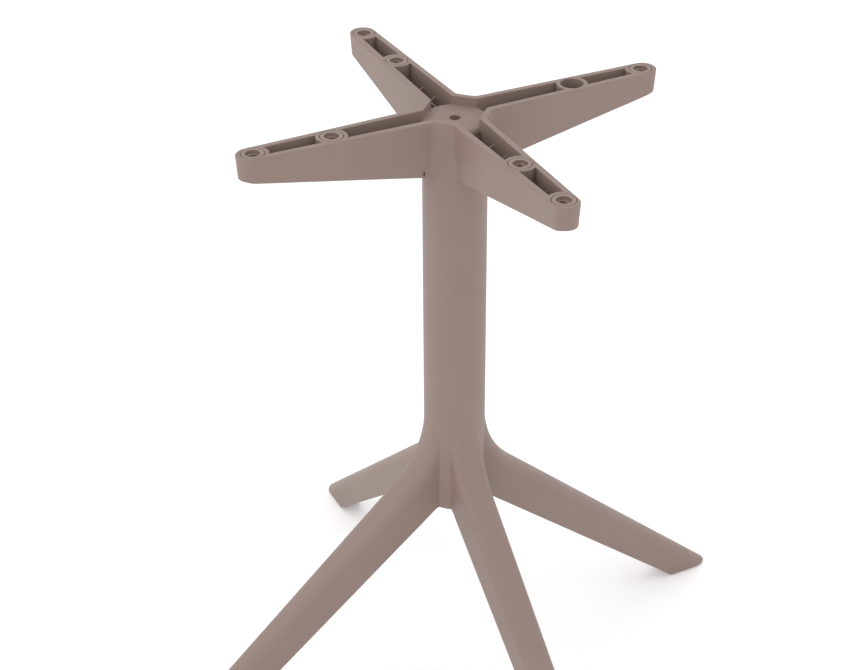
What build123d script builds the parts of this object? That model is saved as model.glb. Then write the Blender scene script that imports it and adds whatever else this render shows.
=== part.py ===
from build123d import *
import os
from math import cos, radians, sin, sqrt, tan

# Four-legged table base moulded in resin: a cross of open channel arms on a round hollow column
# that flows into four splayed hollow legs, with bushes in the arms and glides under the toes.
# Millimetres, floor at z = 0, column on the Z axis, arms and legs along X and Y.

# Heights
overall_height = 722.5
sole_height = 1.5
arm_count = 4

# Column
column_radius = 34.6
column_wall = 6.0

# Arms, in plan at the top rim
arm_hub_half_width = 19.6
arm_tip_radius = 14.4
arm_tip_offset = 3.2
arm_wall = 6.8
rim_edge = 0.8

# Arms, in height
arm_hub_depth = 72.3
arm_underside_rise = 11.0
arm_floor = 3.2
arm_draft = 3.5
arm_tip_corner = 2.0

# Hub between the arms
hub_flat_distance = 37.2
hub_corner_fillet = 10.0
channel_corner_fillet = 4.0
hub_floor_radius = 36.5
hub_floor_depth = 9.6
hub_floor_edge = 5.0
hub_floor_thickness = 6.0
hub_hole_diameter = 12.0

# Fixing bosses in the arms and the bushes that sit in them
outer_fixing_radius = 223.6
inner_fixing_radius = 138.8
boss_wall = 4.1
screw_passage_diameter = 15.0
bush_diameter = 23.6
bush_clearance = 0.7
bush_height = 15.0
bush_recess_diameter = 15.4
bush_recess_depth = 3.5
bush_slot_length = 10.9
bush_slot_width = 6.3

# Thin stiffening ribs inside the arm channels
rib_thickness = 1.6
rib_wall_depth = 10.5
rib_notch_depth = 9.0
rib_radii = (65.0, 93.0, 177.0)
spine_depth = 15.6

# Narrow drain through one side of each arm, at the low end of its channel
drain_radius = 43.2
drain_width = 1.6
drain_height = 5.0

# Legs
leg_ridge_angle = 41.62
leg_ridge_floor_radius = 367.2
leg_blend_radius = 120.0
leg_root_half_width = 18.8
leg_toe_half_width = 14.4
leg_toe_round = 20.0
leg_crown_lean = 18.4
leg_section_depth = 62.0
leg_wall = 6.0
leg_hollow_stop = 20.0
leg_hollow_corner_share = 0.3
leg_hollow_taper = 0.75

# Underside of the legs and the crotch between them
foot_length = 57.8
underside_angle = 39.71
crotch_height = 232.5
crotch_round = 12.0
sole_edge = 1.2
sole_edge_height = 1.2

# Glides under the toes
glide_radius = 10.0
glide_inset = 25.2

# Values worked out from the sizes above
rim_plane = Plane(origin=(0, 0, overall_height), x_dir=(1, 0, 0), z_dir=(0, 0, -1))
hub_floor_z = overall_height - hub_floor_depth
bush_seat_z = overall_height - bush_height
pocket_radius = bush_diameter / 2 + bush_clearance
boss_radius = pocket_radius + boss_wall
arm_tip_centre = outer_fixing_radius + arm_tip_offset
arm_tip_reach = arm_tip_centre + arm_tip_radius
arm_low_z = overall_height - arm_hub_depth
arm_rise = tan(radians(arm_underside_rise))
leg_slope = radians(leg_ridge_angle)
leg_under_slope = radians(underside_angle)
heel_radius = leg_ridge_floor_radius - foot_length
glide_centre = leg_ridge_floor_radius - glide_inset
spare = 60.0


def arm_half_width(radius):
    return arm_hub_half_width + (arm_tip_radius - arm_hub_half_width) * radius / arm_tip_centre


# Plan of one arm at the rim: straight sides that taper onto a round tip
with BuildSketch() as one_arm:
    with Locations((arm_tip_centre, 0)):
        Circle(arm_tip_radius)
    with BuildLine():
        Line((0, -arm_hub_half_width), (0, arm_hub_half_width))
    make_hull()

# Plan of the cross with sharp corners: the arms and the flats between them
with BuildSketch() as sharp_plan:
    with PolarLocations(0, arm_count):
        add(one_arm.sketch)
    Rectangle(2 * hub_flat_distance, 2 * hub_flat_distance, rotation=45)


def near_hub(vertex):
    return sqrt(vertex.X**2 + vertex.Y**2) < arm_tip_centre / 2


# Plan of the cross with its inner corners rounded
with BuildSketch() as cross_plan:
    add(sharp_plan.sketch)
    fillet(cross_plan.vertices().filter_by(near_hub), hub_corner_fillet)

# Plan of the channels: the cross less its walls, with tighter corners
with BuildSketch() as channel_plan:
    add(sharp_plan.sketch)
    offset(amount=-arm_wall, kind=Kind.INTERSECTION, mode=Mode.REPLACE)
    fillet(channel_plan.vertices().filter_by(near_hub), channel_corner_fillet)

# Wedge of space below one arm, up to its rising underside
with BuildPart() as below_arm:
    with BuildSketch(Plane.XZ):
        with BuildLine():
            Polyline(
                (0, arm_low_z),
                (arm_tip_reach + spare, arm_low_z + (arm_tip_reach + spare) * arm_rise),
                (arm_tip_reach + spare, arm_low_z - spare),
                (0, arm_low_z - spare),
                close=True,
            )
        make_face()
    extrude(amount=arm_hub_half_width, both=True)

# Outer form of the cross: drafted walls, the underside rising to the tips
with BuildPart() as cross:
    with BuildSketch(rim_plane.offset(rim_edge)):
        add(cross_plan.sketch)
    extrude(amount=arm_hub_depth - rim_edge, taper=arm_draft)
    with PolarLocations(0, arm_count):
        add(below_arm.part, mode=Mode.SUBTRACT)
    lower_tips = cross.edges().filter_by(
        lambda e: sqrt(e.center().X ** 2 + e.center().Y ** 2) > arm_tip_centre and e.center().Z < bush_seat_z
    )
    chamfer(lower_tips, arm_tip_corner)
    with BuildSketch(Plane.XY.offset(overall_height - rim_edge)):
        add(cross_plan.sketch)
    extrude(amount=rim_edge, taper=45)

# Space inside the channels, around the hub floor and the fixing bosses
channel_floor = Pos(0, 0, arm_floor) * below_arm.part

with BuildPart() as channels:
    with BuildSketch(rim_plane):
        add(channel_plan.sketch)
    extrude(amount=arm_hub_depth, taper=arm_draft)
    with PolarLocations(0, arm_count):
        add(channel_floor, mode=Mode.SUBTRACT)
    with BuildSketch(Plane.XZ) as hub_core:
        with Locations((0, hub_floor_z)):
            Rectangle(hub_floor_radius, arm_hub_depth, align=(Align.MIN, Align.MAX))
        fillet(hub_core.vertices().sort_by_distance((hub_floor_radius, hub_floor_z))[0], hub_floor_edge)
    revolve(axis=Axis.Z, mode=Mode.SUBTRACT)
    with BuildSketch(rim_plane):
        with PolarLocations(inner_fixing_radius, arm_count):
            Circle(boss_radius)
        with PolarLocations(outer_fixing_radius, arm_count):
            Circle(boss_radius)
            Rectangle(spare, 2 * boss_radius, align=(Align.MIN, Align.CENTER))
    extrude(amount=arm_hub_depth, mode=Mode.SUBTRACT)

# Ribs of one arm: notched cross ribs, and a short spine that ties the first one to the hub
with BuildPart() as arm_ribs:
    for rib_radius in rib_radii:
        rib_half = arm_half_width(rib_radius)
        rib_top = overall_height - rib_wall_depth
        with BuildSketch(Plane.YZ.offset(rib_radius)):
            with BuildLine():
                Polyline(
                    (-rib_half, arm_low_z),
                    (rib_half, arm_low_z),
                    (rib_half, rib_top),
                    (0, rib_top - rib_notch_depth),
                    (-rib_half, rib_top),
                    close=True,
                )
            make_face()
        extrude(amount=rib_thickness / 2, both=True)
    with BuildSketch(Plane.XZ):
        with Locations((hub_floor_radius - hub_floor_edge, overall_height - spine_depth)):
            Rectangle(
                rib_radii[0] - hub_floor_radius + hub_floor_edge,
                arm_hub_depth - spine_depth,
                align=(Align.MIN, Align.MAX),
            )
    extrude(amount=rib_thickness / 2, both=True)

with BuildPart() as ribs:
    with PolarLocations(0, arm_count):
        add(arm_ribs.part)
    add(cross.part, mode=Mode.INTERSECT)


# One leg: turned out of the column on a wide curve, then straight and tapering to the toe
turn_x = column_radius + leg_blend_radius
turn_z = (leg_ridge_floor_radius - turn_x) * tan(leg_slope) + leg_blend_radius / cos(leg_slope)
root_x = turn_x - leg_blend_radius * sin(leg_slope)
root_z = turn_z - leg_blend_radius * cos(leg_slope)
column_plane = Plane((column_radius, 0, turn_z), x_dir=(0, 1, 0), z_dir=(0, 0, -1))
root_plane = Plane((root_x, 0, root_z), x_dir=(0, 1, 0), z_dir=(cos(leg_slope), 0, -sin(leg_slope)))
toe_z = sole_height + sole_edge_height
toe_x = leg_ridge_floor_radius - toe_z / tan(leg_slope)
crown_lean = radians(leg_crown_lean)
corner_sweep = 90 - leg_crown_lean


def leg_section(plane):
    """Section square to a leg: flat sides, round corners and a crowned top that runs into them."""
    corner = (leg_root_half_width - column_radius * sin(crown_lean)) / (1 - sin(crown_lean))
    corner_drop = column_radius - (column_radius - corner) * cos(crown_lean)
    corner_y = leg_root_half_width - corner
    with BuildSketch(plane) as section:
        with BuildLine():
            Polyline(
                (-leg_root_half_width, -corner_drop),
                (-leg_root_half_width, -leg_section_depth),
                (leg_root_half_width, -leg_section_depth),
                (leg_root_half_width, -corner_drop),
            )
            CenterArc((corner_y, -corner_drop), corner, 0, corner_sweep)
            CenterArc((0, -column_radius), column_radius, corner_sweep, 2 * leg_crown_lean)
            CenterArc((-corner_y, -corner_drop), corner, 180 - corner_sweep, corner_sweep)
        make_face()
    return section.sketch


def toe_outline(height, inset):
    """Level outline of a toe: straight sides and a half-oval front."""
    half_width = leg_toe_half_width - inset
    front = leg_toe_round - inset
    back = leg_toe_round - leg_section_depth / sin(leg_slope)
    plane = Plane((toe_x - leg_toe_round, 0, height), x_dir=(0, 1, 0), z_dir=(0, 0, -1))
    with BuildSketch(plane) as outline:
        with BuildLine():
            Polyline((-half_width, 0), (-half_width, back), (half_width, back), (half_width, 0))
            EllipticalCenterArc((0, 0), half_width, front, 0, arc_size=corner_sweep)
            EllipticalCenterArc((0, 0), half_width, front, corner_sweep, arc_size=2 * leg_crown_lean)
            EllipticalCenterArc((0, 0), half_width, front, 180 - corner_sweep, arc_size=corner_sweep)
        make_face()
    return outline.sketch


at_column = leg_section(column_plane)
at_root = leg_section(root_plane)
at_toe = toe_outline(toe_z, 0)
at_sole = toe_outline(sole_height, sole_edge)
crotch_x = heel_radius - (crotch_height - sole_height) / tan(leg_under_slope)
under_foot_x = heel_radius + (sole_height + spare) / tan(leg_under_slope)

with BuildPart() as leg:
    turn_axis = Axis((turn_x, 0, turn_z), (0, -1, 0))
    revolve(at_column, axis=turn_axis, revolution_arc=90 - leg_ridge_angle)
    loft([at_root.face(), at_toe.face(), at_sole.face()], ruled=True)
    with BuildSketch(Plane.XZ) as below_leg:
        with BuildLine():
            Polyline(
                (-2 * spare, crotch_height),
                (crotch_x, crotch_height),
                (under_foot_x, -spare),
                (-2 * spare, -spare),
                close=True,
            )
        make_face()
        fillet(below_leg.vertices().sort_by_distance((crotch_x, crotch_height))[0], crotch_round)
    extrude(amount=spare, both=True, mode=Mode.SUBTRACT)

# Hollow of one leg: a tapering oblong with cut corners, midway between the ridge and the underside
hollow_slope = (leg_slope + leg_under_slope) / 2
ridge_z = leg_ridge_floor_radius * tan(leg_slope)
under_z = sole_height + heel_radius * tan(leg_under_slope)
hollow_plane = Plane(
    (0, 0, (ridge_z + under_z) / 2),
    x_dir=(0, 1, 0),
    z_dir=(cos(hollow_slope), 0, -sin(hollow_slope)),
)
hollow_width = 2 * (leg_root_half_width - leg_wall)
hollow_height = (ridge_z - under_z) * cos(hollow_slope) - 2 * leg_wall

with BuildPart() as leg_hollow:
    with BuildSketch(hollow_plane) as hollow_mouth:
        Rectangle(hollow_width, hollow_height)
        chamfer(hollow_mouth.vertices(), leg_hollow_corner_share * hollow_width)
    extrude(amount=(heel_radius - leg_hollow_stop) / cos(hollow_slope), taper=leg_hollow_taper)

# Hollow that runs from under the hub floor down the column and into the legs
with BuildPart() as hollow:
    with BuildSketch(Plane.XY.offset(crotch_height + leg_wall)):
        Circle(column_radius - column_wall)
    extrude(amount=hub_floor_z - hub_floor_thickness - crotch_height - leg_wall)
    with PolarLocations(0, arm_count):
        add(leg_hollow.part)

# Drains, one through the left wall of each arm as seen from the hub
with BuildPart() as drain:
    with Locations((drain_radius, rib_thickness, arm_low_z + arm_floor + drain_radius * arm_rise)):
        Box(drain_width, arm_hub_half_width, drain_height, align=(Align.CENTER, Align.MIN, Align.MIN))

with BuildPart() as drains:
    with PolarLocations(0, arm_count):
        add(drain.part)

# The one-piece moulding
with BuildPart() as moulded_base:
    with BuildSketch(Plane.XY.offset(crotch_height)):
        Circle(column_radius)
    extrude(amount=hub_floor_z - crotch_height)
    with PolarLocations(0, arm_count):
        add(leg.part)
    add(cross.part)
    add(channels.part, mode=Mode.SUBTRACT)
    add(ribs.part)
    add(hollow.part, mode=Mode.SUBTRACT)
    with Locations((0, 0, hub_floor_z)):
        Cylinder(hub_hole_diameter / 2, 2 * hub_floor_thickness, mode=Mode.SUBTRACT)
    add(drains.part, mode=Mode.SUBTRACT)
    with BuildSketch(rim_plane):
        with PolarLocations(inner_fixing_radius, arm_count):
            Circle(pocket_radius)
        with PolarLocations(outer_fixing_radius, arm_count):
            Circle(pocket_radius)
    extrude(amount=bush_height, mode=Mode.SUBTRACT)
    with BuildSketch(rim_plane):
        with PolarLocations(inner_fixing_radius, arm_count):
            Circle(screw_passage_diameter / 2)
        with PolarLocations(outer_fixing_radius, arm_count):
            Circle(screw_passage_diameter / 2)
    extrude(amount=arm_hub_depth, mode=Mode.SUBTRACT)

# One bush: a flush round plug, dished on top, with an oblong hole along the arm for a screw
with BuildPart() as bush:
    with BuildSketch(Plane.XY.offset(bush_seat_z)):
        Circle(bush_diameter / 2)
    extrude(amount=bush_height)
    with BuildSketch(rim_plane):
        Circle(bush_recess_diameter / 2)
    extrude(amount=bush_recess_depth, mode=Mode.SUBTRACT)
    with BuildSketch(rim_plane):
        SlotOverall(bush_slot_length, bush_slot_width)
    extrude(amount=bush_height, mode=Mode.SUBTRACT)

# One glide: a low disc under the toe
with BuildPart() as glide:
    with BuildSketch():
        Circle(glide_radius)
    extrude(amount=sole_height)

os.makedirs("parts", exist_ok=True)
moulded_base.part.label = "moulded_base"
export_step(moulded_base.part, "parts/moulded_base.step")


def export_copies(piece, name, radius, angles):
    for number, angle in enumerate(angles, start=1):
        placed = Rot(0, 0, angle) * Pos(radius, 0, 0) * piece
        placed.label = f"{name}_{number}"
        export_step(placed, f"parts/{placed.label}.step")


# The arm along +X keeps its inner boss empty
every_arm = [360 / arm_count * number for number in range(arm_count)]
export_copies(bush.part, "outer_bush", outer_fixing_radius, every_arm)
export_copies(bush.part, "inner_bush", inner_fixing_radius, every_arm[1:])
export_copies(glide.part, "foot_glide", glide_centre, every_arm)
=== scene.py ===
import math
import bpy
from mathutils import Matrix, Vector


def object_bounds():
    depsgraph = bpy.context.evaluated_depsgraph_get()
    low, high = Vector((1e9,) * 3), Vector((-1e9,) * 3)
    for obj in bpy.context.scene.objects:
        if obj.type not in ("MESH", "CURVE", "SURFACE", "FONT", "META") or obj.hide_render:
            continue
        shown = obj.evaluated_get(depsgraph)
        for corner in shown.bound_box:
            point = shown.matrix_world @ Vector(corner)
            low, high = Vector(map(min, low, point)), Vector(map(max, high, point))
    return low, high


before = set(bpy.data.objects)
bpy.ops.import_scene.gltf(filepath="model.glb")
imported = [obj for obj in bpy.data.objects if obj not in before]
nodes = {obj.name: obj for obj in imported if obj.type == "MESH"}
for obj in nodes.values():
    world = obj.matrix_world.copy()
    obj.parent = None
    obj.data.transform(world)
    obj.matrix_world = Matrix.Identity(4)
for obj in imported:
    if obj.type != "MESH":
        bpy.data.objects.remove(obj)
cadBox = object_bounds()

scene = bpy.context.scene
scene.view_settings.view_transform = "Standard"
print("frame loaded:", len(nodes), "nodes")


# helpers for node trees; an underscore in a keyword stands for a space in the socket's name

def setInputs(node, inputs):
    for key, value in inputs.items():
        node.inputs[key.replace("_", " ")].default_value = value


def addNode(tree, kind, **inputs):
    node = tree.nodes.new(kind)
    setInputs(node, inputs)
    return node


def addGroup(tree, group, **inputs):
    node = tree.nodes.new("ShaderNodeGroup")
    node.node_tree = group
    setInputs(node, inputs)
    return node


def newGroup(name, inputs, outputs):
    group = bpy.data.node_groups.new(name, "ShaderNodeTree")
    for label, kind in inputs:
        group.interface.new_socket(label, in_out="INPUT", socket_type=kind)
    for label, kind in outputs:
        group.interface.new_socket(label, in_out="OUTPUT", socket_type=kind)
    return group, group.nodes.new("NodeGroupInput"), group.nodes.new("NodeGroupOutput")


def mathNode(tree, operation, first, second):
    node = tree.nodes.new("ShaderNodeMath")
    node.operation = operation
    for slot, value in enumerate((first, second)):
        if isinstance(value, (int, float)):
            node.inputs[slot].default_value = value
        else:
            tree.links.new(value, node.inputs[slot])
    return node.outputs[0]


def remap(tree, value, fromSpan, toSpan=(0.0, 1.0)):
    node = addNode(
        tree,
        "ShaderNodeMapRange",
        From_Min=fromSpan[0],
        From_Max=fromSpan[1],
        To_Min=toSpan[0],
        To_Max=toSpan[1],
    )
    tree.links.new(value, node.inputs["Value"])
    return node.outputs["Result"]


def mixTones(tree, factor, first, second):
    node = tree.nodes.new("ShaderNodeMix")
    node.data_type = "RGBA"
    tree.links.new(factor, node.inputs["Factor"])
    for label, tone in (("A", first), ("B", second)):
        if isinstance(tone, tuple):
            node.inputs[label].default_value = (*tone, 1)
        else:
            tree.links.new(tone, node.inputs[label])
    return node.outputs["Result"]


# spark-eroded mould texture: fine pits over slow clouds, which also vary the tone and the gloss

grainLook = {
    "pits": {"Detail": 3.0, "Roughness": 0.6},
    "clouds": {"Detail": 4.0, "Roughness": 0.55},
    "cloudHeight": 0.15,  # against the pits
}


def buildMouldGrain(look):
    group, inn, out = newGroup(
        "mouldGrain",
        [("Pit Size", "NodeSocketFloat"), ("Cloud Size", "NodeSocketFloat")],
        [
            ("Height", "NodeSocketFloat"),
            ("Mottle", "NodeSocketFloat"),
            ("Speck", "NodeSocketFloat"),
        ],
    )
    place = group.nodes.new("ShaderNodeTexCoord")
    pits = addNode(group, "ShaderNodeTexNoise", **look["pits"])
    clouds = addNode(group, "ShaderNodeTexNoise", **look["clouds"])
    for texture, label in ((pits, "Pit Size"), (clouds, "Cloud Size")):
        group.links.new(place.outputs["Object"], texture.inputs["Vector"])
        scale = mathNode(group, "DIVIDE", 1.0, inn.outputs[label])
        group.links.new(scale, texture.inputs["Scale"])
    slow = mathNode(group, "MULTIPLY", clouds.outputs["Fac"], look["cloudHeight"])
    group.links.new(mathNode(group, "ADD", pits.outputs["Fac"], slow), out.inputs["Height"])
    group.links.new(clouds.outputs["Fac"], out.inputs["Mottle"])
    group.links.new(pits.outputs["Fac"], out.inputs["Speck"])
    return group


# moulded edges are never knife-sharp: a normal rounded over them, and a mask along them for a
# painted highlight

edgeLook = {
    "samples": 6,
    "highlightSpan": (0.99, 0.8),  # cosine of the normal's turn, from no painted highlight to full painted highlight
}


def buildSoftEdge(look):
    group, inn, out = newGroup(
        "softEdge",
        [("Edge Radius", "NodeSocketFloat")],
        [("Normal", "NodeSocketVector"), ("Edge Highlight", "NodeSocketFloat")],
    )
    rounded = group.nodes.new("ShaderNodeBevel")
    rounded.samples = look["samples"]
    group.links.new(inn.outputs["Edge Radius"], rounded.inputs["Radius"])
    flat = group.nodes.new("ShaderNodeNewGeometry")
    facing = group.nodes.new("ShaderNodeVectorMath")
    facing.operation = "DOT_PRODUCT"
    group.links.new(rounded.outputs["Normal"], facing.inputs[0])
    group.links.new(flat.outputs["Normal"], facing.inputs[1])
    # mask along the edges for a painted highlight, where rounded edges would catch light
    edgeHighlight = remap(group, facing.outputs["Value"], look["highlightSpan"])
    group.links.new(rounded.outputs["Normal"], out.inputs["Normal"])
    group.links.new(edgeHighlight, out.inputs["Edge Highlight"])
    return group


mouldGrain = buildMouldGrain(grainLook)
softEdge = buildSoftEdge(edgeLook)
print("shader groups built")


# moulded plastic: two close tones, with a painted highlight in a paler tone and a smoother gloss
# along the edges, pitted all over

resinLook = {
    "deepTone": (0.2735, 0.1950, 0.1703),
    "paleTone": (0.2930, 0.2118, 0.1851),
    "mottleSpan": (0.3, 0.7),  # of the mottle, from the deep tone to the pale one
    "pigment": 0.8,  # share of the fine speckle in that
    "speckMiddle": 0.5,
    # paler tone painted along the edges as a highlight
    "highlightTone": (0.318, 0.232, 0.204),
    "edgeGloss": 0.08,  # off the roughness
    "edgeRadius": 0.0012,
    "speckSpan": (0.25, 0.75),
    "roughness": (0.46, 0.58),  # over that span
    "ior": 1.49,
    "specular": 0.5,
    "pitSize": 0.0012,
    "cloudSize": 0.07,
    "bumpStrength": 0.6,
    "bumpDepth": 0.0002,
}
bushLook = dict(
    resinLook,
    roughness=(0.4, 0.5),
    cloudSize=0.02,
    bumpStrength=0.3,
    edgeRadius=0.0006,
)
glideLook = dict(
    resinLook,
    deepTone=(0.262, 0.186, 0.163),
    paleTone=(0.28, 0.2, 0.175),
    roughness=(0.5, 0.6),
    cloudSize=0.02,
    edgeRadius=0.0005,
)


def buildPlastic(name, look):
    material = bpy.data.materials.new(name)
    material.use_nodes = True
    tree = material.node_tree
    tree.nodes.clear()
    out = tree.nodes.new("ShaderNodeOutputMaterial")
    shader = addNode(
        tree,
        "ShaderNodeBsdfPrincipled",
        IOR=look["ior"],
        Specular_IOR_Level=look["specular"],
    )
    tree.links.new(shader.outputs["BSDF"], out.inputs["Surface"])
    grain = addGroup(tree, mouldGrain, Pit_Size=look["pitSize"], Cloud_Size=look["cloudSize"])
    edge = addGroup(tree, softEdge, Edge_Radius=look["edgeRadius"])
    # painted highlight mask: along the edges, patchy by the mottle; it also lowers the roughness
    # there
    highlightMask = mathNode(tree, "MULTIPLY", edge.outputs["Edge Highlight"], grain.outputs["Mottle"])

    fine = mathNode(tree, "SUBTRACT", grain.outputs["Speck"], look["speckMiddle"])
    fine = mathNode(tree, "MULTIPLY", fine, look["pigment"])
    cloudy = mathNode(tree, "ADD", grain.outputs["Mottle"], fine)
    factor = remap(tree, cloudy, look["mottleSpan"])
    tone = mixTones(tree, factor, look["deepTone"], look["paleTone"])
    # painted highlight: the paler tone mixed in along the edges
    tone = mixTones(tree, highlightMask, tone, look["highlightTone"])
    tree.links.new(tone, shader.inputs["Base Color"])

    gloss = remap(tree, grain.outputs["Speck"], look["speckSpan"], look["roughness"])
    shine = mathNode(tree, "MULTIPLY", highlightMask, look["edgeGloss"])
    tree.links.new(mathNode(tree, "SUBTRACT", gloss, shine), shader.inputs["Roughness"])

    bump = addNode(
        tree,
        "ShaderNodeBump",
        Strength=look["bumpStrength"],
        Distance=look["bumpDepth"],
    )
    tree.links.new(grain.outputs["Height"], bump.inputs["Height"])
    tree.links.new(edge.outputs["Normal"], bump.inputs["Normal"])
    tree.links.new(bump.outputs["Normal"], shader.inputs["Normal"])
    return material


def dress(names, material):
    for name in names:
        slots = nodes[name].material_slots
        for slot in slots:
            slot.material = material
        if not slots:
            nodes[name].data.materials.append(material)


dress(["moulded_base"], buildPlastic("resinMoulding", resinLook))
dress([name for name in nodes if "bush" in name], buildPlastic("bushPlastic", bushLook))
dress([name for name in nodes if "glide" in name], buildPlastic("glidePlastic", glideLook))
print("materials assigned")


# floor: a wide round sheet that shows white from above, takes the shadow, and is clear from below

floorLook = {
    "radius": 9.0,
    "sides": 64,
    "colour": (0.93, 0.93, 0.93),
    "roughness": 0.9,
    "lift": 0.2,  # glow that only the eye sees, up to white
    "gap": 0.0001,  # under the glides, so that the faces don't share a plane
}


def buildFloor(look):
    mesh = bpy.data.meshes.new("floor")
    level = cadBox[0][2] - look["gap"]
    ring = []
    for step in range(look["sides"]):
        angle = 2 * math.pi * step / look["sides"]
        ring.append((look["radius"] * math.cos(angle), look["radius"] * math.sin(angle), level))
    mesh.from_pydata(ring, [], [list(range(look["sides"]))])
    floor = bpy.data.objects.new("floor", mesh)
    scene.collection.objects.link(floor)

    material = bpy.data.materials.new("floorWhite")
    material.use_nodes = True
    tree = material.node_tree
    shader = tree.nodes["Principled BSDF"]
    shader.inputs["Base Color"].default_value = (*look["colour"], 1)
    shader.inputs["Roughness"].default_value = look["roughness"]
    shader.inputs["Specular IOR Level"].default_value = 0.0
    shader.inputs["Emission Color"].default_value = (1, 1, 1, 1)
    path = tree.nodes.new("ShaderNodeLightPath")
    camera = path.outputs["Is Camera Ray"]
    seen = mathNode(tree, "MAXIMUM", camera, path.outputs["Is Glossy Ray"])
    seen = mathNode(tree, "MAXIMUM", seen, path.outputs["Is Transmission Ray"])
    lift = mathNode(tree, "MULTIPLY", seen, look["lift"])
    tree.links.new(lift, shader.inputs["Emission Strength"])

    face = tree.nodes.new("ShaderNodeNewGeometry")
    below = mathNode(tree, "MULTIPLY", face.outputs["Backfacing"], camera)
    clear = tree.nodes.new("ShaderNodeBsdfTransparent")
    either = tree.nodes.new("ShaderNodeMixShader")
    tree.links.new(below, either.inputs["Fac"])
    tree.links.new(shader.outputs["BSDF"], either.inputs[1])
    tree.links.new(clear.outputs["BSDF"], either.inputs[2])
    tree.links.new(either.outputs["Shader"], tree.nodes["Material Output"].inputs["Surface"])
    mesh.materials.append(material)


buildFloor(floorLook)


# studio light: a white surround and one wide soft lamp from the left

worldLook = {"colour": (1.0, 1.0, 1.0), "strength": 0.993}
lampLook = {"size": 3.0, "power": 14.4, "place": (-2.6, 0.9, 2.6), "target": (0.0, 0.0, 0.4)}


def buildLight(world, lamp):
    studio = bpy.data.worlds.new("studio")
    studio.use_nodes = True
    sky = studio.node_tree.nodes["Background"]
    sky.inputs["Color"].default_value = (*world["colour"], 1)
    sky.inputs["Strength"].default_value = world["strength"]
    scene.world = studio

    data = bpy.data.lights.new("softLamp", "AREA")
    data.shape = "DISK"
    data.size = lamp["size"]
    data.energy = lamp["power"]
    light = bpy.data.objects.new("softLamp", data)
    light.location = lamp["place"]
    aim = Vector(lamp["target"]) - Vector(lamp["place"])
    light.rotation_euler = aim.to_track_quat("-Z", "Y").to_euler()
    scene.collection.objects.link(light)


buildLight(worldLook, lampLook)
print("floor and light ready")


# camera at the photograph's viewing angle, for an image of 860 by 670

cameraLook = {
    "place": (-0.78962, -1.53677, 1.53247),
    "forward": (0.375204, 0.759387, -0.531550),
    "roll": 0.359,  # degrees
    "lens": 77.115,  # mm
    "sensor": 36.0,  # mm wide
}


def buildCamera(look):
    forward = Vector(look["forward"]).normalized()
    level = forward.cross(Vector((0, 0, 1))).normalized()
    down = forward.cross(level)
    turn = math.radians(look["roll"])
    right = math.cos(turn) * level + math.sin(turn) * down
    up = math.sin(turn) * level - math.cos(turn) * down
    data = bpy.data.cameras.new("camera")
    data.lens = look["lens"]
    data.sensor_fit = "HORIZONTAL"
    data.sensor_width = look["sensor"]
    camera = bpy.data.objects.new("camera", data)
    axes = Matrix((right, up, -forward)).transposed().to_4x4()
    camera.matrix_world = Matrix.Translation(look["place"]) @ axes
    scene.collection.objects.link(camera)
    scene.camera = camera


buildCamera(cameraLook)
print("camera set")
